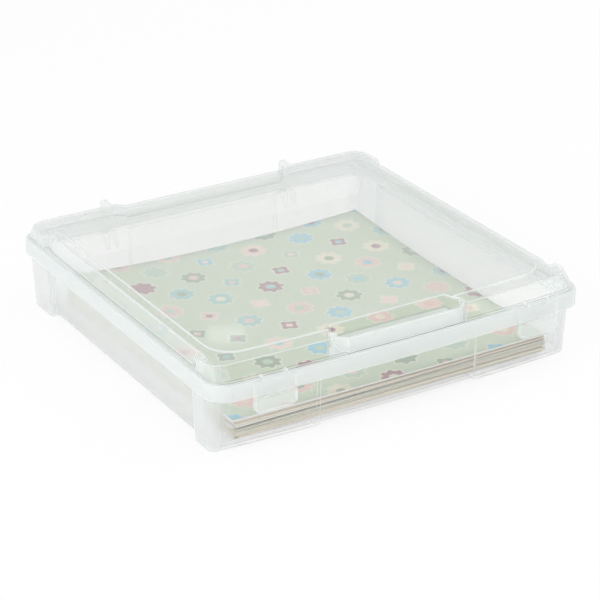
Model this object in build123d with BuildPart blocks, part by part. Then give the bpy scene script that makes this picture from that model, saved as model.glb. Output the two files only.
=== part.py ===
from build123d import *
import math
import os

# Latched, stackable case for sheets of scrapbook paper, moulded in translucent plastic.
# A tray on four hollow corner feet carries a hinged lid with a finger pocket at the front,
# two pull-down latches and a stack of 12 inch paper. Millimetres: X runs across the front,
# Y from front to back, Z up from the table.

# Sheets that the case is made for, and the room from them to the rim, where the lid is widest
sheet_size = 304.8
room_side = 27.6
room_front = 26.6
room_back = 26.6
front_bow = 5.3
rim_front_radius = 19.7
rim_back_radius = 12.9
draft = 0.025

# Wall thicknesses and clearances
tray_wall = 2.0
lid_wall = 1.8
skirt_clearance = 1.4
lid_seat_gap = 0.2

# Tray: floor height, walls and corner posts, each drawn in from the rim
floor_bottom = 2.5
flange_rise = 0.5
wall_front = 16.4
wall_side = 10.3
wall_back = 12.0
wall_radius = 16.0
wall_edge_round = 3.0
post_front = 15.8
post_side = 4.8
post_back = 10.4
post_draft = 0.04
post_radius = 8.0
post_front_length = 104.0
post_side_length = 46.0
foot_width = 13.0
foot_edge_round = 3.0

# Lid: heights, and how far each level is drawn in from the rim
skirt_bottom = 51.0
ledge_top = 65.4
ledge_round = 1.7
shoulder_top = 76.9
panel_rise = 1.3
lip_rise = 0.4
ledge_inset = 2.9
shoulder_front = 14.5
shoulder_side = 4.3
shoulder_back = 5.8
shoulder_radius = 16.2
shoulder_round = 1.2
panel_front = 29.6
panel_side = 20.7
panel_back = 16.0
panel_radius = 24.0
panel_bevel = 1.9
panel_round = 0.6

# Stacking lips on the lid's sides, each on a sunk stretch of wall between the corners
side_recess_end = 40.0
side_recess_low = 7.5
side_recess_high = 12.0
lip_end = 51.0
lip_thickness = 1.6
lip_edge_round = 0.3

# Sunk stretch of the lid's back wall, between the hinges
back_recess_end = 100.0
back_recess_taper = 11.0
back_recess_depth = 14.0

# Handle: an upright grip on the tray, and the lid's finger pocket behind it
grip_width = 110.4
grip_corner = 9.4
grip_thickness = 2.0
grip_inset_low = 4.0
grip_inset_high = 8.2
grip_top = 77.0
grip_gap = 0.8
pocket_back = 37.8
pocket_back_width = 115.0
pocket_bottom = 56.2
pocket_front_top = 75.4
pocket_radius = 4.0

# Latches: place, plate with a raised border, two arms with pins, hook, and the lid's ears
latch_from_side = 52.5
latch_width = 39.0
latch_thickness = 2.0
latch_border = 1.4
latch_border_height = 0.6
latch_clearance = 0.5
latch_bottom = 37.5
latch_top_drop = 0.8
latch_corner = 6.0
latch_pin_rise = 1.7
latch_pin_setback = 3.8
latch_pin_radius = 0.9
latch_pin_fit = 0.06
latch_arm_width = 1.6
latch_arm_radius = 1.5
latch_arm_gap = 0.2
ear_spacing = 23.1
ear_thickness = 1.2
ear_radius = 2.1
hook_width = 12.8
hook_height = 6.0
hook_nose = 0.8
hook_drop = 0.6
hook_reach = 2.5

# Hinges: pins on the tray's lugs, and hooked arms on the lid
hinge_from_side = 85.5
hinge_arm_width = 5.5
hinge_arm_radius = 5.0
hinge_pin_radius = 2.5
hinge_pin_fit = 0.06
hinge_pin_setback = 4.5
hinge_mouth = 4.2
hinge_arm_top = 0.9
hinge_arm_reach = 6.0
hinge_side_gap = 0.5
lug_thickness = 2.5
lug_radius = 4.0
lug_height = 14.0
lug_skirt_gap = 0.5

# Paper: a stack of packs with a printed sheet on top, pushed a little out of square
pack_thickness = 1.54
pack_count = 11
top_sheet_thickness = 0.4
stack_shift_x = 1.4
stack_shift_y = -2.8
top_sheet_turn = -0.57
pack_turn = 0.45
pack_slip = 1.2


case_width = sheet_size + 2 * room_side
case_depth = room_front + sheet_size + room_back
latch_centre = case_width / 2 - latch_from_side
hinge_centre = case_width / 2 - hinge_from_side


def bow_at(x):
    """How far the front of the rim lies behind its middle, at a distance x from the middle."""
    return front_bow * (2 * x / case_width) ** 2


# The part is centred over its own outline, so the rim's place follows from what stands proud
latch_inner_x = latch_centre - latch_width / 2
latch_face = bow_at(latch_inner_x) - latch_clearance - latch_thickness
latch_proud = max(latch_border_height - latch_face, 0)
hinge_proud = hinge_pin_setback + hinge_arm_radius
rim_front = latch_proud - (latch_proud + case_depth + hinge_proud) / 2
rim_back = rim_front + case_depth
rim_middle = (rim_front + rim_back) / 2

flange_bottom = skirt_bottom + flange_rise
flange_top = flange_bottom + tray_wall
rim_inset = lid_wall + skirt_clearance
rim_top = ledge_top - lid_wall - lid_seat_gap
hinge_y = rim_back + hinge_pin_setback
hinge_z = skirt_bottom
panel_top = shoulder_top + panel_rise
lip_top = shoulder_top + lip_rise
above_lid = max(panel_top, lip_top) + 5
latch_y = rim_front + latch_pin_setback
latch_pin_height = ledge_top + latch_pin_rise
latch_top = ledge_top - latch_top_drop
grip_side = grip_inset_high + grip_corner - grip_gap
pocket_front = grip_inset_high + grip_thickness + grip_gap
pocket_side = pocket_front + grip_corner + grip_thickness + grip_gap


def plan(front, side, back, radius, z, back_radius=None):
    """The case's plan at height z, drawn in from the rim by the given amounts."""
    half = case_width / 2 - side
    y_corner = rim_front + front_bow + front
    with BuildSketch(Plane.XY.offset(z)) as sketch:
        with BuildLine():
            Polyline((-half, y_corner), (-half, rim_back - back), (half, rim_back - back), (half, y_corner))
            ThreePointArc((half, y_corner), (0, rim_front + front), (-half, y_corner))
        make_face()
        fillet(sketch.vertices().sort_by(Axis.Y)[:2], radius)
        fillet(sketch.vertices().sort_by(Axis.Y)[-2:], back_radius or radius)
    return sketch.sketch


def even_plan(inset, z):
    """The plan drawn in by the same amount on every side."""
    return plan(inset, inset, inset, rim_front_radius - inset, z, rim_back_radius - inset)


def basin(inset):
    """Form of the tray's walls and floor between the posts, drawn in by inset on every face."""
    low = floor_bottom + inset
    high = flange_bottom + inset
    lean = draft * (high - low)
    front, side, back = wall_front + inset, wall_side + inset, wall_back + inset
    radius = wall_radius - inset
    with BuildPart() as form:
        loft([
            plan(front, side, back, radius, low),
            plan(front - lean, side - lean, back - lean, radius, high),
        ])
        fillet(form.edges().group_by(Axis.Z)[0], wall_edge_round - inset / 2)
    return form.part


def corner_posts(inset):
    """Form of the four corner posts with their L-shaped feet, drawn in by inset on every face."""
    high = flange_bottom + inset
    lean = post_draft * (high - inset)
    front, side, back = post_front + inset, post_side + inset, post_back + inset
    radius = post_radius - inset
    core = foot_width - inset
    half_x = case_width / 2 - post_front_length + inset
    half_y = case_depth / 2 - post_side_length + inset
    with BuildPart() as form:
        loft([
            plan(front, side, back, radius, inset),
            plan(front - lean, side - lean, back - lean, radius, high),
        ])
        with BuildSketch(Plane.XY.offset(-1)):
            with Locations((0, rim_middle)):
                Rectangle(2 * half_x, 2 * case_depth)
                Rectangle(2 * case_width, 2 * half_y)
        extrude(amount=high + 2, mode=Mode.SUBTRACT)
        fillet(form.edges().group_by(Axis.Z)[0], foot_edge_round - inset / 2)
        core_plan = plan(post_front + core, post_side + core, post_back + core, radius, -1)
        extrude(core_plan, amount=floor_bottom + inset + 1, mode=Mode.SUBTRACT)
    return form.part


def grip_plan(inset, margin, back, z):
    """Plan of the grip with its cut corners, widened by margin, reaching back to an inset of its own."""
    half = grip_width / 2 + margin * math.tan(math.pi / 8)
    y = rim_front + inset - margin
    outer = half + grip_corner
    y_back = rim_front + back
    with BuildSketch(Plane.XY.offset(z)) as sketch:
        with BuildLine():
            Polyline(
                (-outer, y_back), (-outer, y + grip_corner), (-half, y), (half, y),
                (outer, y + grip_corner), (outer, y_back), close=True,
            )
        make_face()
    return sketch.sketch


def pocket_plan(inset, z):
    """Plan of the finger pocket behind the grip: cut corners in front, tapering towards the back."""
    slope = math.tan(math.pi / 8)
    front = pocket_front + inset
    front_half = grip_width / 2 - (grip_thickness + grip_gap + inset) * slope
    side_half = grip_width / 2 + grip_corner - inset
    side = front + side_half - front_half
    back_half = pocket_back_width / 2 - inset
    with BuildSketch(Plane.XY.offset(z)) as sketch:
        with BuildLine():
            Polyline(
                (-front_half, rim_front + front), (-side_half, rim_front + side),
                (-back_half, rim_front + pocket_back - inset), (back_half, rim_front + pocket_back - inset),
                (side_half, rim_front + side), (front_half, rim_front + front), close=True,
            )
        make_face()
        fillet(sketch.vertices(), pocket_radius - inset)
    return sketch.sketch


def side_wedge(inset, low):
    """What is cut from both sides of the lid's crown between its corner sections."""
    half_length = case_depth / 2 - side_recess_end + inset
    x_low = case_width / 2 - side_recess_low - inset
    x_high = case_width / 2 - side_recess_high - inset
    with BuildPart() as form:
        with BuildSketch(Plane.XZ.offset(-rim_middle)):
            with BuildLine():
                Polyline(
                    (x_low, low), (x_high, shoulder_top), (x_high, above_lid), (case_width, above_lid),
                    (case_width, low), close=True,
                )
            make_face()
        extrude(amount=half_length, both=True)
        mirror(about=Plane.YZ)
    return form.part


def back_wedge(inset, low):
    """What is cut from the back of the lid's crown between the hinges."""
    half = case_width / 2 - back_recess_end
    y = rim_back - back_recess_depth - inset
    with BuildPart() as form:
        with BuildSketch(Plane.XY.offset(low)):
            with BuildLine():
                Polyline(
                    (-half - back_recess_taper, rim_back - ledge_inset - inset), (-half, y), (half, y),
                    (half + back_recess_taper, rim_back - ledge_inset - inset),
                    (half + back_recess_taper, rim_back + 1), (-half - back_recess_taper, rim_back + 1),
                    close=True,
                )
            make_face()
        extrude(amount=above_lid - low)
    return form.part


def lid_form(inset):
    """Form of the lid from skirt to raised panel, drawn in by inset on every face."""
    ledge = ledge_top - inset
    shoulder = shoulder_top - inset
    wide = panel_bevel - inset
    with BuildPart() as form:
        extrude(even_plan(inset, skirt_bottom), amount=ledge - skirt_bottom)
        fillet(form.edges().group_by(Axis.Z)[-1], ledge_round - inset / 2)
        loft([
            even_plan(ledge_inset + inset, ledge),
            plan(shoulder_front + inset, shoulder_side + inset, shoulder_back + inset,
                 shoulder_radius - inset, shoulder),
        ])
        if not inset:
            fillet(form.edges().group_by(Axis.Z)[-1], shoulder_round)
        add(side_wedge(inset, ledge), mode=Mode.SUBTRACT)
        add(back_wedge(inset, ledge), mode=Mode.SUBTRACT)
        loft([
            plan(panel_front - wide, panel_side - wide, panel_back - wide, panel_radius, shoulder),
            plan(panel_front + inset, panel_side + inset, panel_back + inset,
                 panel_radius, panel_top - inset),
        ])
        if not inset:
            fillet(form.edges().group_by(Axis.Z)[-1], panel_round)
    return form.part


# Tray with corner posts, flange and upright rim
with BuildPart() as tray:
    add(basin(0))
    add(corner_posts(0))
    extrude(even_plan(rim_inset, flange_bottom), amount=rim_top - flange_bottom)
    rim_opening = even_plan(rim_inset + tray_wall, flange_top)
    extrude(rim_opening, amount=rim_top - flange_top, mode=Mode.SUBTRACT)
    add(basin(tray_wall), mode=Mode.SUBTRACT)
    add(corner_posts(tray_wall), mode=Mode.SUBTRACT)

    # Upright grip with its two cut corners, leaning back as it rises
    grip_lean = grip_inset_high - grip_inset_low
    loft([
        grip_plan(grip_inset_low, 0, grip_side, flange_top),
        grip_plan(grip_inset_high, 0, grip_side + grip_lean, grip_top),
    ])
    loft(
        [
            grip_plan(grip_inset_low, -grip_thickness, pocket_side, flange_top),
            grip_plan(grip_inset_high, -grip_thickness, pocket_side + grip_lean, grip_top),
        ],
        mode=Mode.SUBTRACT,
    )

    # Two lugs and a pin at each hinge
    lug_half_gap = hinge_arm_width / 2 + hinge_side_gap
    lug_foot = rim_back - wall_back
    lug_shelf = skirt_bottom - lug_skirt_gap
    for side in (-1, 1):
        for end in (-1, 1):
            lug_x = side * hinge_centre + end * (lug_half_gap + lug_thickness / 2)
            with BuildSketch(Plane.YZ.offset(lug_x)):
                with Locations((hinge_y, hinge_z)):
                    Circle(lug_radius)
                with BuildLine():
                    Polyline(
                        (lug_foot, lug_shelf), (hinge_y, lug_shelf), (hinge_y + lug_radius, hinge_z),
                        (hinge_y, hinge_z - lug_radius - 1), (lug_foot, lug_shelf - lug_height), close=True,
                    )
                make_face()
            extrude(amount=lug_thickness / 2, both=True)
        with BuildSketch(Plane.YZ.offset(side * hinge_centre)):
            with Locations((hinge_y, hinge_z)):
                Circle(hinge_pin_radius)
        extrude(amount=lug_half_gap, both=True)
tray.part.label = "tray"

# Lid with stacking lips, finger pocket, latch ears and hinge arms
with BuildPart() as lid:
    add(lid_form(0))
    add(lid_form(lid_wall), mode=Mode.SUBTRACT)

    # Opening for the tray's grip, and the finger pocket behind it, lower in front than the grip
    slot_low = ledge_top - lid_wall
    extrude(
        grip_plan(grip_inset_low + grip_gap, grip_gap, pocket_side, slot_low), amount=above_lid - slot_low,
        mode=Mode.SUBTRACT,
    )
    extrude(pocket_plan(0, pocket_bottom), amount=panel_top - pocket_bottom)
    extrude(
        pocket_plan(lid_wall, pocket_bottom + lid_wall), amount=above_lid - pocket_bottom,
        mode=Mode.SUBTRACT,
    )
    extrude(
        grip_plan(grip_inset_low, grip_gap, pocket_side - grip_corner / 2, pocket_front_top),
        amount=above_lid - pocket_front_top, mode=Mode.SUBTRACT,
    )

    # Stacking lips along the sides
    for side in (-1, 1):
        with BuildSketch(Plane.XZ.offset(-rim_middle)):
            with BuildLine():
                x_low = side * (case_width / 2 - side_recess_low)
                x_high = side * (case_width / 2 - side_recess_high)
                Polyline(
                    (x_low, ledge_top), (x_low + side * lip_thickness, ledge_top),
                    (x_high + side * lip_thickness, lip_top), (x_high, lip_top),
                    (x_high - side * lid_wall / 2, shoulder_top), close=True,
                )
            make_face()
        extrude(amount=case_depth / 2 - lip_end, both=True)
    fillet(lid.edges().filter_by_position(Axis.Z, lip_top - 0.01, lip_top + 0.01), lip_edge_round)

    # Ears that hold the latches' pins
    for side in (-1, 1):
        for end in (-1, 1):
            ear_x = side * latch_centre + end * ear_spacing / 2
            ear_front_foot = rim_front + bow_at(latch_centre) + lid_wall / 2
            ear_foot = ledge_top - lid_wall / 2
            with BuildSketch(Plane.YZ.offset(ear_x)):
                with Locations((latch_y, latch_pin_height)):
                    Circle(ear_radius)
                with BuildLine():
                    Polyline(
                        (latch_y - ear_radius, latch_pin_height), (ear_front_foot, ear_foot),
                        (latch_y + ear_radius, ear_foot), (latch_y + ear_radius, latch_pin_height),
                        close=True,
                    )
                make_face()
                with Locations((latch_y, latch_pin_height)):
                    Circle(latch_pin_radius + latch_pin_fit, mode=Mode.SUBTRACT)
            extrude(amount=ear_thickness / 2, both=True)

    # Hooked arms that run from the lid's top edge down to the tray's pins
    for side in (-1, 1):
        with BuildSketch(Plane.YZ.offset(side * hinge_centre)):
            half_wall = lid_wall / 2
            arm_back = hinge_y + hinge_arm_radius
            arm_top = shoulder_top + hinge_arm_top
            with BuildLine():
                Polyline(
                    (rim_back - half_wall, hinge_z), (rim_back - half_wall, ledge_top - half_wall),
                    (rim_back - ledge_inset - half_wall, ledge_top - half_wall),
                    (rim_back - shoulder_back - half_wall, shoulder_top - half_wall),
                    (rim_back - shoulder_back, arm_top), (rim_back + hinge_arm_reach, arm_top),
                    (arm_back, hinge_z), close=True,
                )
            make_face()
            with Locations((hinge_y, hinge_z)):
                Circle(hinge_arm_radius)
                Circle(hinge_pin_radius + hinge_pin_fit, mode=Mode.SUBTRACT)
            with Locations((hinge_y + hinge_arm_radius, hinge_z)):
                Rectangle(2 * hinge_arm_radius, hinge_mouth, mode=Mode.SUBTRACT)
        extrude(amount=hinge_arm_width / 2, both=True)
lid.part.label = "lid"


def latch_outline(inset):
    """Outline of the right-hand latch's plate in its outer face, with two rounded lower corners."""
    left, right = latch_centre - latch_width / 2 + inset, latch_centre + latch_width / 2 - inset
    low, high = latch_bottom + inset, latch_top
    with BuildSketch(Plane.XZ.offset(-rim_front - latch_face)) as sketch:
        with BuildLine():
            Polyline((left, high), (left, low), (right, low), (right, high), close=True)
        make_face()
        fillet(sketch.vertices().group_by(Axis.Y)[0], latch_corner - inset)
    return sketch.sketch


# Latches: plate, arms, pins and hook, made on one side and mirrored for the other
def latch_form():
    """The right-hand latch, closed."""
    face = rim_front + latch_face
    inner = face + latch_thickness
    hook_top = skirt_bottom - hook_drop
    hook_tip = rim_front + bow_at(latch_centre) + hook_reach
    middle = Plane.YZ.offset(latch_centre)
    high = latch_pin_height + latch_arm_radius
    low = latch_pin_height - latch_arm_radius
    with BuildPart() as form:
        # Plate with a raised border along its sides and lower edge
        outline = latch_outline(0)
        extrude(outline, amount=-latch_thickness)
        extrude(outline, amount=latch_border_height)
        extrude(latch_outline(latch_border), amount=latch_border_height, mode=Mode.SUBTRACT)

        # Two arms that reach over the lid's ledge, each with a pin that points outwards
        for side in (-1, 1):
            ear_face = latch_centre + side * (ear_spacing - ear_thickness) / 2
            arm_face = ear_face - side * latch_arm_gap
            with BuildSketch(Plane.YZ.offset(arm_face)):
                with BuildLine():
                    Polyline(
                        (face, latch_top - latch_thickness), (face, latch_pin_height), (inner, high),
                        (latch_y, high), (latch_y, low), (inner, low),
                        (inner, latch_top - latch_thickness), close=True,
                    )
                make_face()
                with Locations((latch_y, latch_pin_height)):
                    Circle(latch_arm_radius)
            extrude(amount=-side * latch_arm_width)
            with BuildSketch(Plane.YZ.offset(arm_face)):
                with Locations((latch_y, latch_pin_height)):
                    Circle(latch_pin_radius)
            extrude(amount=side * (latch_arm_gap + ear_thickness))

        # Hook that catches below the rim
        with BuildSketch(middle):
            with BuildLine():
                Polyline(
                    (face, hook_top), (hook_tip, hook_top), (hook_tip, hook_top - hook_nose),
                    (inner, hook_top - hook_height), (face, hook_top - hook_height), close=True,
                )
            make_face()
        extrude(amount=hook_width / 2, both=True)
    return form.part


with BuildPart() as latch_right:
    add(latch_form())
latch_right.part.label = "latch_right"

with BuildPart() as latch_left:
    add(latch_form().mirror(Plane.YZ))
latch_left.part.label = "latch_left"

# Packs of paper, each a little turned and shifted on the one below
stack_bottom = floor_bottom + tray_wall
packs = []
for index in range(pack_count):
    turn = pack_turn * math.sin(2.4 * index)
    slip_x = stack_shift_x + pack_slip * math.sin(1.7 * index)
    slip_y = stack_shift_y + pack_slip * math.cos(2.1 * index)
    with BuildPart() as pack:
        with BuildSketch(Plane.XY.offset(stack_bottom + index * pack_thickness)):
            with Locations(Location((slip_x, rim_middle + slip_y, 0), (0, 0, turn))):
                Rectangle(sheet_size, sheet_size)
        extrude(amount=pack_thickness)
    pack.part.label = f"paper_pack_{index + 1:02d}"
    packs.append(pack.part)

with BuildPart() as top_sheet:
    with BuildSketch(Plane.XY.offset(stack_bottom + pack_count * pack_thickness)):
        with Locations(Location((stack_shift_x, rim_middle + stack_shift_y, 0), (0, 0, top_sheet_turn))):
            Rectangle(sheet_size, sheet_size)
    extrude(amount=top_sheet_thickness)
top_sheet.part.label = "paper_top_sheet"

os.makedirs("parts", exist_ok=True)
for piece in [tray.part, lid.part, latch_left.part, latch_right.part, top_sheet.part, *packs]:
    export_step(piece, f"parts/{piece.label}.step")
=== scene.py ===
import math
import random
from collections import namedtuple

import bmesh
import bpy
from mathutils import Matrix, Vector


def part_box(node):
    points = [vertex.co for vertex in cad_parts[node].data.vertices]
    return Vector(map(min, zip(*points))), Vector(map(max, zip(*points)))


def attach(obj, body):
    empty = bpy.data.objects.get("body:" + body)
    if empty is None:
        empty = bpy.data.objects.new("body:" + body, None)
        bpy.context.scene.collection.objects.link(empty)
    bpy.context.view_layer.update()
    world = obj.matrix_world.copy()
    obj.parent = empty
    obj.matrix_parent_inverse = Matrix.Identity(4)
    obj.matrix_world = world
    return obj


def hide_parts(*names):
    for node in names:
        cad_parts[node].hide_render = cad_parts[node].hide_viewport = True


# Paper storage case: a translucent moulded case around a stack of printed paper. Metres, in the CAD frame.
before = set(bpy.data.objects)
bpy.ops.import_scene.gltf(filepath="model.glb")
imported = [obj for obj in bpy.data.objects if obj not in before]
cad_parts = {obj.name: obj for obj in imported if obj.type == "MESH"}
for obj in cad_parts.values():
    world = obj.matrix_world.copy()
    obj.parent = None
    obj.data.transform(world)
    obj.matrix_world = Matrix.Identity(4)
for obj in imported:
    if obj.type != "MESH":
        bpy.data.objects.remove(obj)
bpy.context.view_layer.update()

# Camera: the photograph's view, as a lens in 36 mm film widths, an eye point and two turns
IMAGE_SIDE = 600
FOCAL_PIXELS = 2258.5
FILM_WIDTH = 36.0
EYE = Vector((-0.9252, -1.5359, 0.8751))
VIEW_TILT = math.radians(64.681)
VIEW_TURN = math.radians(-31.222)
VIEW_DEPTH = 50.0

# Stage: lamps as place, target, size and radiance. The small card is mirrored in the lid's panel.
FLOOR_REACH = 12.0
FLOOR_COLOUR = (0.96, 0.96, 0.96, 1.0)
FLOOR_GLOW_SHARE = 0.8
WORLD_LIGHT = 0.86
CASE_MIDDLE = (0, 0, 0.05)
PANEL_SPOT = (-0.136, -0.119, 0.078)
LAMPS = {
    "key": ((1.75, -0.70, 1.63), CASE_MIDDLE, (1.1, 1.1), 1.8),
    "left": ((-2.20, -0.60, 1.00), CASE_MIDDLE, (1.6, 1.6), 1.9),
    "front": ((-1.20, -2.40, 0.70), CASE_MIDDLE, (1.4, 1.4), 0.9),
    "card": ((0.976, 1.875, 1.20), PANEL_SPOT, (0.07, 0.03), 1.1),
}

# Relief of grain and fibres, and noises as scale, detail and roughness
BUMP_HEIGHT = 0.0002
CLOUDS = (30.0, 2.0, 0.5)
GRAIN = (900.0, 2.0, 0.5)
FIBRES = (260.0, 4.0, 0.7)


# Node helpers
def material(name):
    """A new node material with an empty tree, and its output node."""
    made = bpy.data.materials.new(name)
    made.use_nodes = True
    made.node_tree.nodes.clear()
    return made, made.node_tree.nodes.new("ShaderNodeOutputMaterial")


def wire(tree, value, socket):
    """Sets a socket to a plain value, or links it to another node's output."""
    if isinstance(value, bpy.types.NodeSocket):
        tree.links.new(value, socket)
    else:
        socket.default_value = value


def add_node(tree, kind, **inputs):
    """A new node with inputs set or linked by name. An underscore in a name stands for a space."""
    node = tree.nodes.new(kind)
    for name, value in inputs.items():
        wire(tree, value, node.inputs[name.replace("_", " ")])
    return node


def math_node(tree, operation, *values):
    """The output of a math node."""
    node = tree.nodes.new("ShaderNodeMath")
    node.operation = operation
    for value, socket in zip(values, node.inputs):
        wire(tree, value, socket)
    return node.outputs[0]


def vector_node(tree, operation, *values):
    """The output of a vector math node: a number for a length or a dot product, otherwise a vector."""
    node = tree.nodes.new("ShaderNodeVectorMath")
    node.operation = operation
    for value, socket in zip(values, node.inputs):
        wire(tree, value, socket)
    return node.outputs["Value"] if operation in ("LENGTH", "DOT_PRODUCT") else node.outputs["Vector"]


def split_axes(tree, vector):
    """The x, y and z of a vector."""
    return add_node(tree, "ShaderNodeSeparateXYZ", Vector=vector).outputs


def mix_colour(tree, factor, first, second):
    """The colour between two colours."""
    node = tree.nodes.new("ShaderNodeMix")
    node.data_type = "RGBA"
    wire(tree, factor, node.inputs["Factor"])
    for value, index in ((first, 6), (second, 7)):
        wire(tree, value, node.inputs[index])
    return node.outputs[2]


def mix_shader(tree, share, first, second):
    """Two shaders mixed, with a share of the second."""
    node = tree.nodes.new("ShaderNodeMixShader")
    for value, socket in zip((share, first, second), node.inputs):
        wire(tree, value, socket)
    return node.outputs[0]


def noise(tree, vector, kind):
    """The value of one of the noises at a place."""
    scale, detail, roughness = kind
    node = add_node(
        tree, "ShaderNodeTexNoise", Vector=vector, Scale=scale, Detail=detail, Roughness=roughness)
    return node.outputs[0]


def bump(tree, height, strength):
    """The normal of a surface with relief up to BUMP_HEIGHT."""
    node = add_node(tree, "ShaderNodeBump", Strength=strength, Distance=BUMP_HEIGHT, Height=height)
    return node.outputs[0]


def ramp(tree, value, start, full):
    """0 up to start, 1 from full on, and in proportion between them."""
    node = add_node(tree, "ShaderNodeMapRange", Value=value, From_Min=start, From_Max=full)
    return node.outputs["Result"]


def object_point(tree):
    """The point in the CAD frame, in metres."""
    return tree.nodes.new("ShaderNodeTexCoord").outputs["Object"]


def srgb(red, green, blue):
    """A colour given as screen values from 0 to 255, in Blender's linear light."""
    def linear(value):
        value /= 255
        return value / 12.92 if value <= 0.04045 else ((value + 0.055) / 1.055) ** 2.4
    return (linear(red), linear(green), linear(blue), 1.0)


# Plastic: its milk, the share of light that the milk sends onward, and what clouds and slanting views add
MILK = srgb(250, 253, 253)
MILK_ONWARD = 0.5
GRAIN_STRENGTH = 0.06
CLOUD_HAZE = 0.03
ASLANT_HAZE = 0.24
ASLANT_POWER = 3.0
LEAST_HAZE = 0.02
MOST_HAZE = 0.96

# Edges: how far round a point the surface is looked at, and how soon its turn counts in full. Edges are
# made milkier, partly for the scatter of thick moulded edges and partly as painted highlight.
EDGE_RADIUS = 0.0012
EDGE_SAMPLES = 6
EDGE_GAIN = 12.0

# Mirror share straight ahead and what it gains aslant, and the walls that clear light passes as it is
GLOSS_ROUGHNESS = 0.04
MIRROR_AHEAD = 0.035
MIRROR_ASLANT = 0.96
MIRROR_POWER = 5.0
STRAIGHT_WALLS = 3.5

# Painted shade: a thin dark grey line where the crown rises from the ledge, standing in for the shade and
# bent light at that crease
CREASE_SHADE = (("z", 0.06555, 0.06565), ("z", 0.0662, 0.0661))
CREASE_SHADE_COLOUR = srgb(120, 130, 126)
CREASE_SHADE_HAZE = 0.35

# Zones of a moulding: what each adds to the haze, then the ramps that bound it, as an axis, where the zone
# starts and where it is full, in metres. The x axis is measured out from the middle to either side. Some
# zones paint highlight, and some take haze and painted highlight off.
LID_ZONES = {
    "skirt": (0.42, ("z", 0.0655, 0.0653)),
    "panel": (0.05, ("z", 0.0768, 0.0770)),
    "sides": (0.28, ("x", 0.160, 0.170), ("z", 0.0660, 0.0664), ("z", 0.0766, 0.0764)),
    # Painted highlight: the lid's shoulder and bevel edges made milky white on the front part only, where
    # light catches them
    "shoulder_highlight": (0.65, ("z", 0.07650, 0.07654), ("z", 0.07690, 0.07686), ("y", 0.15, 0.10)),
    "bevel_highlight": (0.65, ("z", 0.07706, 0.07714), ("z", 0.07818, 0.07810), ("y", 0.15, 0.10)),
    "back": (0.22, ("y", 0.150, 0.162), ("z", 0.0655, 0.0675)),
}
TRAY_ZONES = {
    "sides": (0.30, ("x", 0.154, 0.172)),
    "grip": (0.30, ("z", 0.0540, 0.0580)),
    # The lugs at the back and the front foot line take haze off, and with it the edges' painted highlight
    # there
    "lugs": (-0.35, ("y", 0.162, 0.168), ("z", 0.030, 0.036)),
    "front_foot_line": (-0.60, ("x", 0.084, 0.076), ("y", -0.152, -0.158), ("z", 0.010, 0.006)),
}
LATCH_ZONES = {
    "upper_part": (-0.20, ("z", 0.049, 0.052)),
}


def within(tree, reach, ramps):
    """How far a point lies within a zone, from 0 to 1."""
    share = 1.0
    for axis, start, full in ramps:
        share = math_node(tree, "MULTIPLY", share, ramp(tree, reach[axis], start, full))
    return share


def edge_share(tree):
    """1 along edges and 0 elsewhere, by how far the surface turns within EDGE_RADIUS."""
    rounded = add_node(tree, "ShaderNodeBevel", Radius=EDGE_RADIUS)
    rounded.samples = EDGE_SAMPLES
    plain = tree.nodes.new("ShaderNodeNewGeometry").outputs["Normal"]
    turn = math_node(tree, "SUBTRACT", 1.0, vector_node(tree, "DOT_PRODUCT", rounded.outputs[0], plain))
    return math_node(tree, "MINIMUM", math_node(tree, "MULTIPLY", turn, EDGE_GAIN), 1.0)


def clear_light(tree):
    """Light that passes straight through.

    Past a few walls it goes on as a refraction that bends nothing, so that deep views stay bright.
    """
    white = (1.0, 1.0, 1.0, 1.0)
    straight = add_node(tree, "ShaderNodeBsdfTransparent", Color=white)
    onward = add_node(tree, "ShaderNodeBsdfRefraction", Color=white, Roughness=0.0, IOR=1.0)
    depth = tree.nodes.new("ShaderNodeLightPath").outputs["Transparent Depth"]
    deep = math_node(tree, "GREATER_THAN", depth, STRAIGHT_WALLS)
    return mix_shader(tree, deep, straight.outputs[0], onward.outputs[0])


def milk_light(tree, colour, normal):
    """Light scattered by the plastic, part of it back and part of it onward."""
    back = add_node(tree, "ShaderNodeBsdfDiffuse", Color=colour, Normal=normal)
    onward = add_node(tree, "ShaderNodeBsdfTranslucent", Color=colour, Normal=normal)
    return mix_shader(tree, MILK_ONWARD, back.outputs[0], onward.outputs[0])


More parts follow.
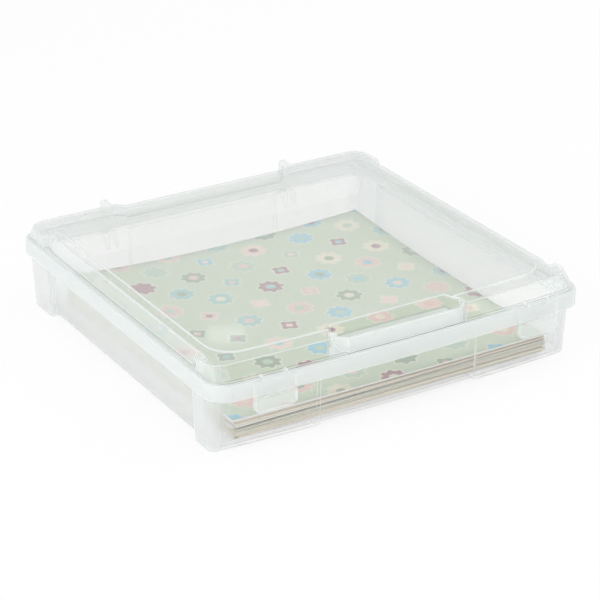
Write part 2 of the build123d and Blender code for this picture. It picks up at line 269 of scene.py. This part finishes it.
def milky_plastic(name, haze, edge_haze_and_highlight, zones, crease_shade_ramps=()):
    """Translucent polypropylene: clear at heart, hazy when seen aslant and whitish along its edges, partly
    as painted highlight.
    """
    made, output = material(name)
    tree = made.node_tree
    point = object_point(tree)
    cloud = noise(tree, point, CLOUDS)
    normal = bump(tree, noise(tree, point, GRAIN), GRAIN_STRENGTH)
    slant = add_node(tree, "ShaderNodeLayerWeight", Blend=0.5).outputs["Facing"]
    edge = edge_share(tree)

    aslant = math_node(tree, "POWER", slant, ASLANT_POWER)
    veil = math_node(tree, "MULTIPLY_ADD", aslant, ASLANT_HAZE, haze)
    veil = math_node(tree, "MULTIPLY_ADD", cloud, CLOUD_HAZE, veil)
    axes = split_axes(tree, point)
    reach = {"x": math_node(tree, "ABSOLUTE", axes[0]), "y": axes[1], "z": axes[2]}
    for added, *ramps in zones.values():
        veil = math_node(tree, "MULTIPLY_ADD", within(tree, reach, ramps), added, veil)
    colour = MILK
    # Painted shade: grey milk in a thin line along the crease, with the edges' painted highlight taken off
    # it
    if crease_shade_ramps:
        crease_shade = within(tree, reach, crease_shade_ramps)
        edge = math_node(tree, "MULTIPLY", edge, math_node(tree, "SUBTRACT", 1.0, crease_shade))
        veil = math_node(tree, "MULTIPLY_ADD", crease_shade, CREASE_SHADE_HAZE, veil)
        colour = mix_colour(tree, crease_shade, MILK, CREASE_SHADE_COLOUR)
    # Edges made milkier: partly the scatter of thick moulded edges, partly painted highlight
    veil = math_node(tree, "MULTIPLY_ADD", edge, edge_haze_and_highlight, veil)
    veil = math_node(tree, "MAXIMUM", math_node(tree, "MINIMUM", veil, MOST_HAZE), LEAST_HAZE)
    body = mix_shader(tree, veil, clear_light(tree), milk_light(tree, colour, normal))

    # Mirror share by Schlick's formula, the same from inside and outside
    gloss = add_node(tree, "ShaderNodeBsdfAnisotropic", Roughness=GLOSS_ROUGHNESS)
    steep = math_node(tree, "POWER", slant, MIRROR_POWER)
    share = math_node(tree, "MULTIPLY_ADD", steep, MIRROR_ASLANT, MIRROR_AHEAD)
    tree.links.new(mix_shader(tree, share, body, gloss.outputs[0]), output.inputs["Surface"])
    return made


def dress_case():
    """The plastic on the CAD nodes."""
    tray = milky_plastic("tray_plastic", haze=0.07, edge_haze_and_highlight=0.50, zones=TRAY_ZONES)
    lid = milky_plastic("lid_plastic", haze=0.05, edge_haze_and_highlight=0.70, zones=LID_ZONES, crease_shade_ramps=CREASE_SHADE)
    latch = milky_plastic("latch_plastic", haze=0.31, edge_haze_and_highlight=0.34, zones=LATCH_ZONES)
    for node, look in {"tray": tray, "lid": lid, "latch_left": latch, "latch_right": latch}.items():
        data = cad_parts[node].data
        data.materials.clear()
        data.materials.append(look)


# Paper: colours of the sheets' edges, with the painted shade of the gaps between packs last, a dark grey
# sheet standing in for the shadow in each gap
EDGE_COLOURS = {
    "paper_cream": srgb(248, 243, 228),
    "paper_kraft": srgb(244, 234, 214),
    "paper_white": srgb(250, 249, 245),
    "paper_green": srgb(226, 231, 216),
    "paper_rose": srgb(238, 222, 214),
    "pack_gap_shade": srgb(92, 85, 72),
}
FIBRE_SHADE = 0.86

# Finishes as roughness, specular level and strength of the fibres' relief
CARD_FINISH = (0.82, 0.3, 0.15)
PRINT_FINISH = (0.6, 0.35, 0.08)

# The print: rosettes and four-leaved clovers on two lattices, each with a halo round it and a heart in it
PRINT_GROUND = srgb(205, 216, 195)
PRINT_HALO = srgb(238, 236, 222)
PRINT_COLOURS = [
    srgb(158, 206, 222), srgb(232, 204, 196), srgb(176, 138, 146), srgb(236, 229, 208),
    srgb(168, 206, 204), srgb(164, 178, 160), srgb(190, 210, 192), srgb(240, 216, 206),
]
PRINT_CELL = 0.051
PETALS = 8.0
ROSETTE_RADIUS = 0.0108
LEAVES = 4.0
CLOVER_RADIUS = 0.0074
LOBE_DEPTH = 0.0014
MOST_TURN = 6.0
CLOVERS_ABOVE = 0.6
HALO_WIDTH = 0.0016
HALO_STRENGTH = 0.6
HEART_SHARE = 0.42
PRINT_SHADE = 0.94
PRINT_MOTTLE = 0.10

# Each lattice's shift by a share of a cell, and the seed of its flowers
LATTICES = ((0.0, 3.1), (0.5, 7.7))


def finish_paper(tree, output, colour, mottle, finish):
    """Paper of a colour, with its mottle as a slight relief."""
    roughness, specular, relief = finish
    shader = add_node(
        tree, "ShaderNodeBsdfPrincipled", Base_Color=colour, Roughness=roughness,
        Specular_IOR_Level=specular, Normal=bump(tree, mottle, relief))
    tree.links.new(shader.outputs[0], output.inputs["Surface"])


def plain_paper(name, colour):
    """Uncoated card with a faint fibre mottle."""
    made, output = material(name)
    tree = made.node_tree
    mottle = noise(tree, object_point(tree), FIBRES)
    dark = tuple(FIBRE_SHADE * c for c in colour[:3]) + (1.0,)
    finish_paper(tree, output, mix_colour(tree, mottle, dark, colour), mottle, CARD_FINISH)
    return made


def palette(tree, value):
    """One of the print's colours, picked by a value from 0 to 1."""
    picker = add_node(tree, "ShaderNodeValToRGB")
    picker.color_ramp.interpolation = "CONSTANT"
    points = picker.color_ramp.elements
    while len(points) < len(PRINT_COLOURS):
        points.new(0.5)
    for index, colour in enumerate(PRINT_COLOURS):
        points[index].position = index / len(PRINT_COLOURS)
        points[index].color = colour
    wire(tree, value, picker.inputs[0])
    return picker.outputs[0]


def lobed(tree, angle, turn, lobes, radius):
    """The radius of a flower's outline at an angle."""
    phase = math_node(tree, "MULTIPLY_ADD", turn, MOST_TURN, math_node(tree, "MULTIPLY", angle, lobes))
    return math_node(tree, "MULTIPLY_ADD", math_node(tree, "COSINE", phase), LOBE_DEPTH, radius)


def motifs(tree, ground, place, shift, seed):
    """Draws one rosette or clover in each cell of a square lattice, over the ground colour."""
    moved = vector_node(tree, "ADD", place, (shift, shift, 0.0))
    cell = vector_node(tree, "FLOOR", moved)
    local = vector_node(tree, "SUBTRACT", vector_node(tree, "FRACTION", moved), (0.5, 0.5, 0.0))
    flat = vector_node(tree, "MULTIPLY", local, (PRINT_CELL, PRINT_CELL, 0.0))
    seeded = vector_node(tree, "ADD", cell, (seed, seed * 2.0, seed * 3.0))
    chance = add_node(tree, "ShaderNodeTexWhiteNoise", Vector=seeded)
    split = add_node(tree, "ShaderNodeSeparateColor", Color=chance.outputs["Color"])
    pick, second_pick, kind = split.outputs

    radius = vector_node(tree, "LENGTH", flat)
    axes = split_axes(tree, flat)
    angle = math_node(tree, "ARCTAN2", axes[1], axes[0])
    rosette = lobed(tree, angle, kind, PETALS, ROSETTE_RADIUS)
    clover = lobed(tree, angle, kind, LEAVES, CLOVER_RADIUS)
    is_clover = math_node(tree, "GREATER_THAN", kind, CLOVERS_ABOVE)
    change = math_node(tree, "SUBTRACT", clover, rosette)
    outline = math_node(tree, "MULTIPLY_ADD", change, is_clover, rosette)
    in_halo = math_node(tree, "LESS_THAN", radius, math_node(tree, "ADD", outline, HALO_WIDTH))
    in_flower = math_node(tree, "LESS_THAN", radius, outline)
    in_heart = math_node(tree, "LESS_THAN", radius, math_node(tree, "MULTIPLY", outline, HEART_SHARE))

    first, second = palette(tree, pick), palette(tree, second_pick)
    colour = mix_colour(tree, math_node(tree, "MULTIPLY", in_halo, HALO_STRENGTH), ground, PRINT_HALO)
    return mix_colour(tree, in_heart, mix_colour(tree, in_flower, colour, first), second)


def printed_paper(name, centre, turn):
    """Sage green card printed with staggered rosettes and clovers."""
    made, output = material(name)
    tree = made.node_tree
    point = object_point(tree)
    mapping = add_node(
        tree, "ShaderNodeMapping", Vector=point, Location=(*centre, 0.0), Rotation=(0.0, 0.0, turn),
        Scale=(PRINT_CELL, PRINT_CELL, PRINT_CELL))
    mapping.vector_type = "TEXTURE"
    place = vector_node(tree, "MULTIPLY", mapping.outputs[0], (1.0, 1.0, 0.0))
    colour = PRINT_GROUND
    for shift, seed in LATTICES:
        colour = motifs(tree, colour, place, shift, seed)
    mottle = noise(tree, point, FIBRES)
    shaded = tree.nodes.new("ShaderNodeVectorMath")
    shaded.operation = "SCALE"
    wire(tree, colour, shaded.inputs[0])
    wire(tree, math_node(tree, "MULTIPLY_ADD", mottle, PRINT_MOTTLE, PRINT_SHADE), shaded.inputs["Scale"])
    finish_paper(tree, output, shaded.outputs[0], mottle, PRINT_FINISH)
    return made


# The stack: each pack has a gap below, an inset sheet painted dark as the gap's shade, by either share of
# its height in turn, and sheets with small slips above. The corners curl up by a share each, given after
# the corner's side in x and y.
Sheet = namedtuple("Sheet", "centre turn side bottom top slot")
SHEET_SIDE = 0.3048
SHEETS_PER_PACK = 3
GAP_SHARES = (0.18, 0.36)
GAP_DEPTH = 0.0004
EDGE_SLIP = 0.0004
EDGE_TURN = 0.0015
GRID = 20
CORNER_LIFT = 0.0065
CORNER_REACH = 0.150
CORNER_SHARES = ((-1, 1, 1.0), (1, 1, 0.75), (1, -1, 0.15), (-1, -1, 0.10))
TOP_SHEET_TURN = math.radians(-0.57)
STACK_SEED = 11

pack_nodes = sorted(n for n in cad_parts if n.startswith("paper_pack"))
stack_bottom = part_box(pack_nodes[0])[0].z
stack_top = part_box("paper_top_sheet")[1].z


def lift(x, y, height):
    """How far a sheet curls up at a point from -1 to 1 each way, at a share of the stack's height."""
    rise = 0.0
    for corner_x, corner_y, share in CORNER_SHARES:
        away = math.hypot(x - corner_x, y - corner_y) * SHEET_SIDE / 2
        near = max(0.0, 1 - away / CORNER_REACH)
        rise += share * CORNER_LIFT * near ** 2
    return rise * height ** 2


def perimeter():
    """Grid indices round the edge of a sheet, in order."""
    low = [(i, 0) for i in range(GRID)]
    right = [(GRID, j) for j in range(GRID)]
    high = [(GRID - i, GRID) for i in range(GRID)]
    left = [(0, GRID - j) for j in range(GRID)]
    return low + right + high + left


def stack_piece(name, sheets, materials):
    """One closed mesh of sheets lying on each other."""
    mesh = bmesh.new()

    def corner(sheet, i, j, z):
        u, v = 2 * i / GRID - 1, 2 * j / GRID - 1
        flat = Matrix.Rotation(sheet.turn, 2) @ Vector((u * sheet.side / 2, v * sheet.side / 2))
        height = (z - stack_bottom) / (stack_top - stack_bottom)
        x, y = sheet.centre[0] + flat.x, sheet.centre[1] + flat.y
        return mesh.verts.new((x, y, z + lift(u, v, height)))

    def rim(sheet, z):
        return [corner(sheet, i, j, z) for i, j in perimeter()]

    def cap(sheet, z, flip):
        grid = [[corner(sheet, i, j, z) for j in range(GRID + 1)] for i in range(GRID + 1)]
        for i in range(GRID):
            for j in range(GRID):
                corners = [grid[i][j], grid[i + 1][j], grid[i + 1][j + 1], grid[i][j + 1]]
                face = mesh.faces.new(corners[::-1] if flip else corners)
                face.material_index = sheet.slot
                face.smooth = True
        return [grid[i][j] for i, j in perimeter()]

    def band(lower, upper, slot):
        for k in range(len(lower)):
            n = (k + 1) % len(lower)
            face = mesh.faces.new((lower[k], lower[n], upper[n], upper[k]))
            face.material_index = slot

    loop = cap(sheets[0], sheets[0].bottom, True)
    for sheet, following in zip(sheets, sheets[1:]):
        top = rim(sheet, sheet.top)
        band(loop, top, sheet.slot)
        loop = rim(following, following.bottom)
        band(top, loop, following.slot)
    last = sheets[-1]
    band(loop, cap(last, last.top, False), last.slot)

    mesh.normal_update()
    data = bpy.data.meshes.new(name)
    mesh.to_mesh(data)
    mesh.free()
    for item in materials:
        data.materials.append(item)
    made = bpy.data.objects.new(name, data)
    bpy.context.scene.collection.objects.link(made)
    return made


def node_centre(node):
    """The middle of a node's box, seen from above."""
    low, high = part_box(node)
    return ((low.x + high.x) / 2, (low.y + high.y) / 2)


def node_turn(node):
    """The turn of a square node about the vertical, from the size of the box round it."""
    low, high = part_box(node)
    share = (high.x - low.x) / SHEET_SIDE
    return math.asin(min(1.0, share / math.sqrt(2))) - math.pi / 4


def pack_sheets(node, index, gap_shade_slot, draws):
    """The sheets of one pack, from the dark sheet of painted gap shade up. Packs are turned to either side
    in turn.
    """
    low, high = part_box(node)
    centre, turn = node_centre(node), node_turn(node)
    turn = turn if index % 2 else -turn
    gap = GAP_SHARES[index % 2] * (high.z - low.z)
    thickness = (high.z - low.z - gap) / SHEETS_PER_PACK
    sheets = [Sheet(centre, turn, SHEET_SIDE - 2 * GAP_DEPTH, low.z, low.z + gap, gap_shade_slot)]
    for k in range(SHEETS_PER_PACK):
        slip = [draws.uniform(-EDGE_SLIP, EDGE_SLIP) for _ in range(2)]
        place = (centre[0] + slip[0], centre[1] + slip[1])
        bottom = low.z + gap + k * thickness
        askew = turn + draws.uniform(-EDGE_TURN, EDGE_TURN)
        slot = draws.randrange(gap_shade_slot)
        sheets.append(Sheet(place, askew, SHEET_SIDE, bottom, bottom + thickness, slot))
    return sheets


def build_paper():
    """The packs, each several sheets with their own small slips, and the printed sheet."""
    # The last colour is the painted shade of the gaps between packs
    papers = {slot: plain_paper(slot, colour) for slot, colour in EDGE_COLOURS.items()}
    gap_shade_slot = len(papers) - 1
    draws = random.Random(STACK_SEED)
    for index, node in enumerate(pack_nodes):
        sheets = pack_sheets(node, index, gap_shade_slot, draws)
        piece = stack_piece(f"sheets_{index + 1:02d}", sheets, papers.values())
        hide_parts(node)
        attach(piece, "tray")

    low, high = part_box("paper_top_sheet")
    centre = node_centre("paper_top_sheet")
    middle = (low.z + high.z) / 2
    materials = [printed_paper("printed_sage", centre, TOP_SHEET_TURN), papers["paper_white"]]
    sheets = [
        Sheet(centre, TOP_SHEET_TURN, SHEET_SIDE, low.z, middle, 1),
        Sheet(centre, TOP_SHEET_TURN, SHEET_SIDE, middle, high.z, 0),
    ]
    piece = stack_piece("printed_sheet", sheets, materials)
    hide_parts("paper_top_sheet")
    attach(piece, "tray")


# Stage: floor, light and camera
def white_ground():
    """Floor that is near white to the camera, through the plastic too, and keeps the object's shadow."""
    made, output = material("floor_white")
    tree = made.node_tree
    matt = add_node(tree, "ShaderNodeBsdfDiffuse", Color=FLOOR_COLOUR)
    glow = add_node(tree, "ShaderNodeEmission", Strength=1.0)
    path = tree.nodes.new("ShaderNodeLightPath")
    seen = math_node(tree, "MAXIMUM", path.outputs["Is Camera Ray"], path.outputs["Is Transmission Ray"])
    seen = math_node(tree, "MULTIPLY", seen, FLOOR_GLOW_SHARE)
    tree.links.new(mix_shader(tree, seen, matt.outputs[0], glow.outputs[0]), output.inputs["Surface"])
    return made


def build_floor():
    """A large square floor."""
    mesh = bpy.data.meshes.new("floor")
    reach = FLOOR_REACH
    corners = [(-reach, -reach, 0), (reach, -reach, 0), (reach, reach, 0), (-reach, reach, 0)]
    mesh.from_pydata(corners, [], [(0, 1, 2, 3)])
    mesh.materials.append(white_ground())
    floor = bpy.data.objects.new("floor", mesh)
    bpy.context.scene.collection.objects.link(floor)


def build_world():
    """Even light from all round, white where the camera, a mirror or the plastic shows it."""
    world = bpy.data.worlds.new("studio")
    world.use_nodes = True
    tree = world.node_tree
    background = tree.nodes["Background"]
    background.inputs["Color"].default_value = (1.0, 1.0, 1.0, 1.0)
    path = tree.nodes.new("ShaderNodeLightPath")
    seen = math_node(tree, "MAXIMUM", path.outputs["Is Camera Ray"], path.outputs["Is Glossy Ray"])
    seen = math_node(tree, "MAXIMUM", seen, path.outputs["Is Transmission Ray"])
    strength = math_node(tree, "MULTIPLY_ADD", seen, 1 - WORLD_LIGHT, WORLD_LIGHT)
    tree.links.new(strength, background.inputs["Strength"])
    bpy.context.scene.world = world


def build_lamps():
    """Rectangular area lamps that face their targets."""
    for name, (place, target, size, radiance) in LAMPS.items():
        data = bpy.data.lights.new(name, "AREA")
        data.shape = "RECTANGLE"
        data.size, data.size_y = size
        data.energy = radiance * math.pi * size[0] * size[1]
        lamp = bpy.data.objects.new(name, data)
        lamp.location = place
        lamp.rotation_euler = (Vector(target) - Vector(place)).to_track_quat("-Z", "Y").to_euler()
        bpy.context.scene.collection.objects.link(lamp)


def build_camera():
    """The photograph's camera."""
    data = bpy.data.cameras.new("camera")
    data.sensor_width = FILM_WIDTH
    data.lens = FILM_WIDTH * FOCAL_PIXELS / IMAGE_SIDE
    data.clip_end = VIEW_DEPTH
    camera = bpy.data.objects.new("camera", data)
    turns = Matrix.Rotation(VIEW_TURN, 4, "Z") @ Matrix.Rotation(VIEW_TILT, 4, "X")
    camera.matrix_world = Matrix.Translation(EYE) @ turns
    bpy.context.scene.collection.objects.link(camera)
    bpy.context.scene.camera = camera


bpy.context.scene.view_settings.view_transform = "Standard"
dress_case()
build_paper()
build_floor()
build_world()
build_lamps()
build_camera()
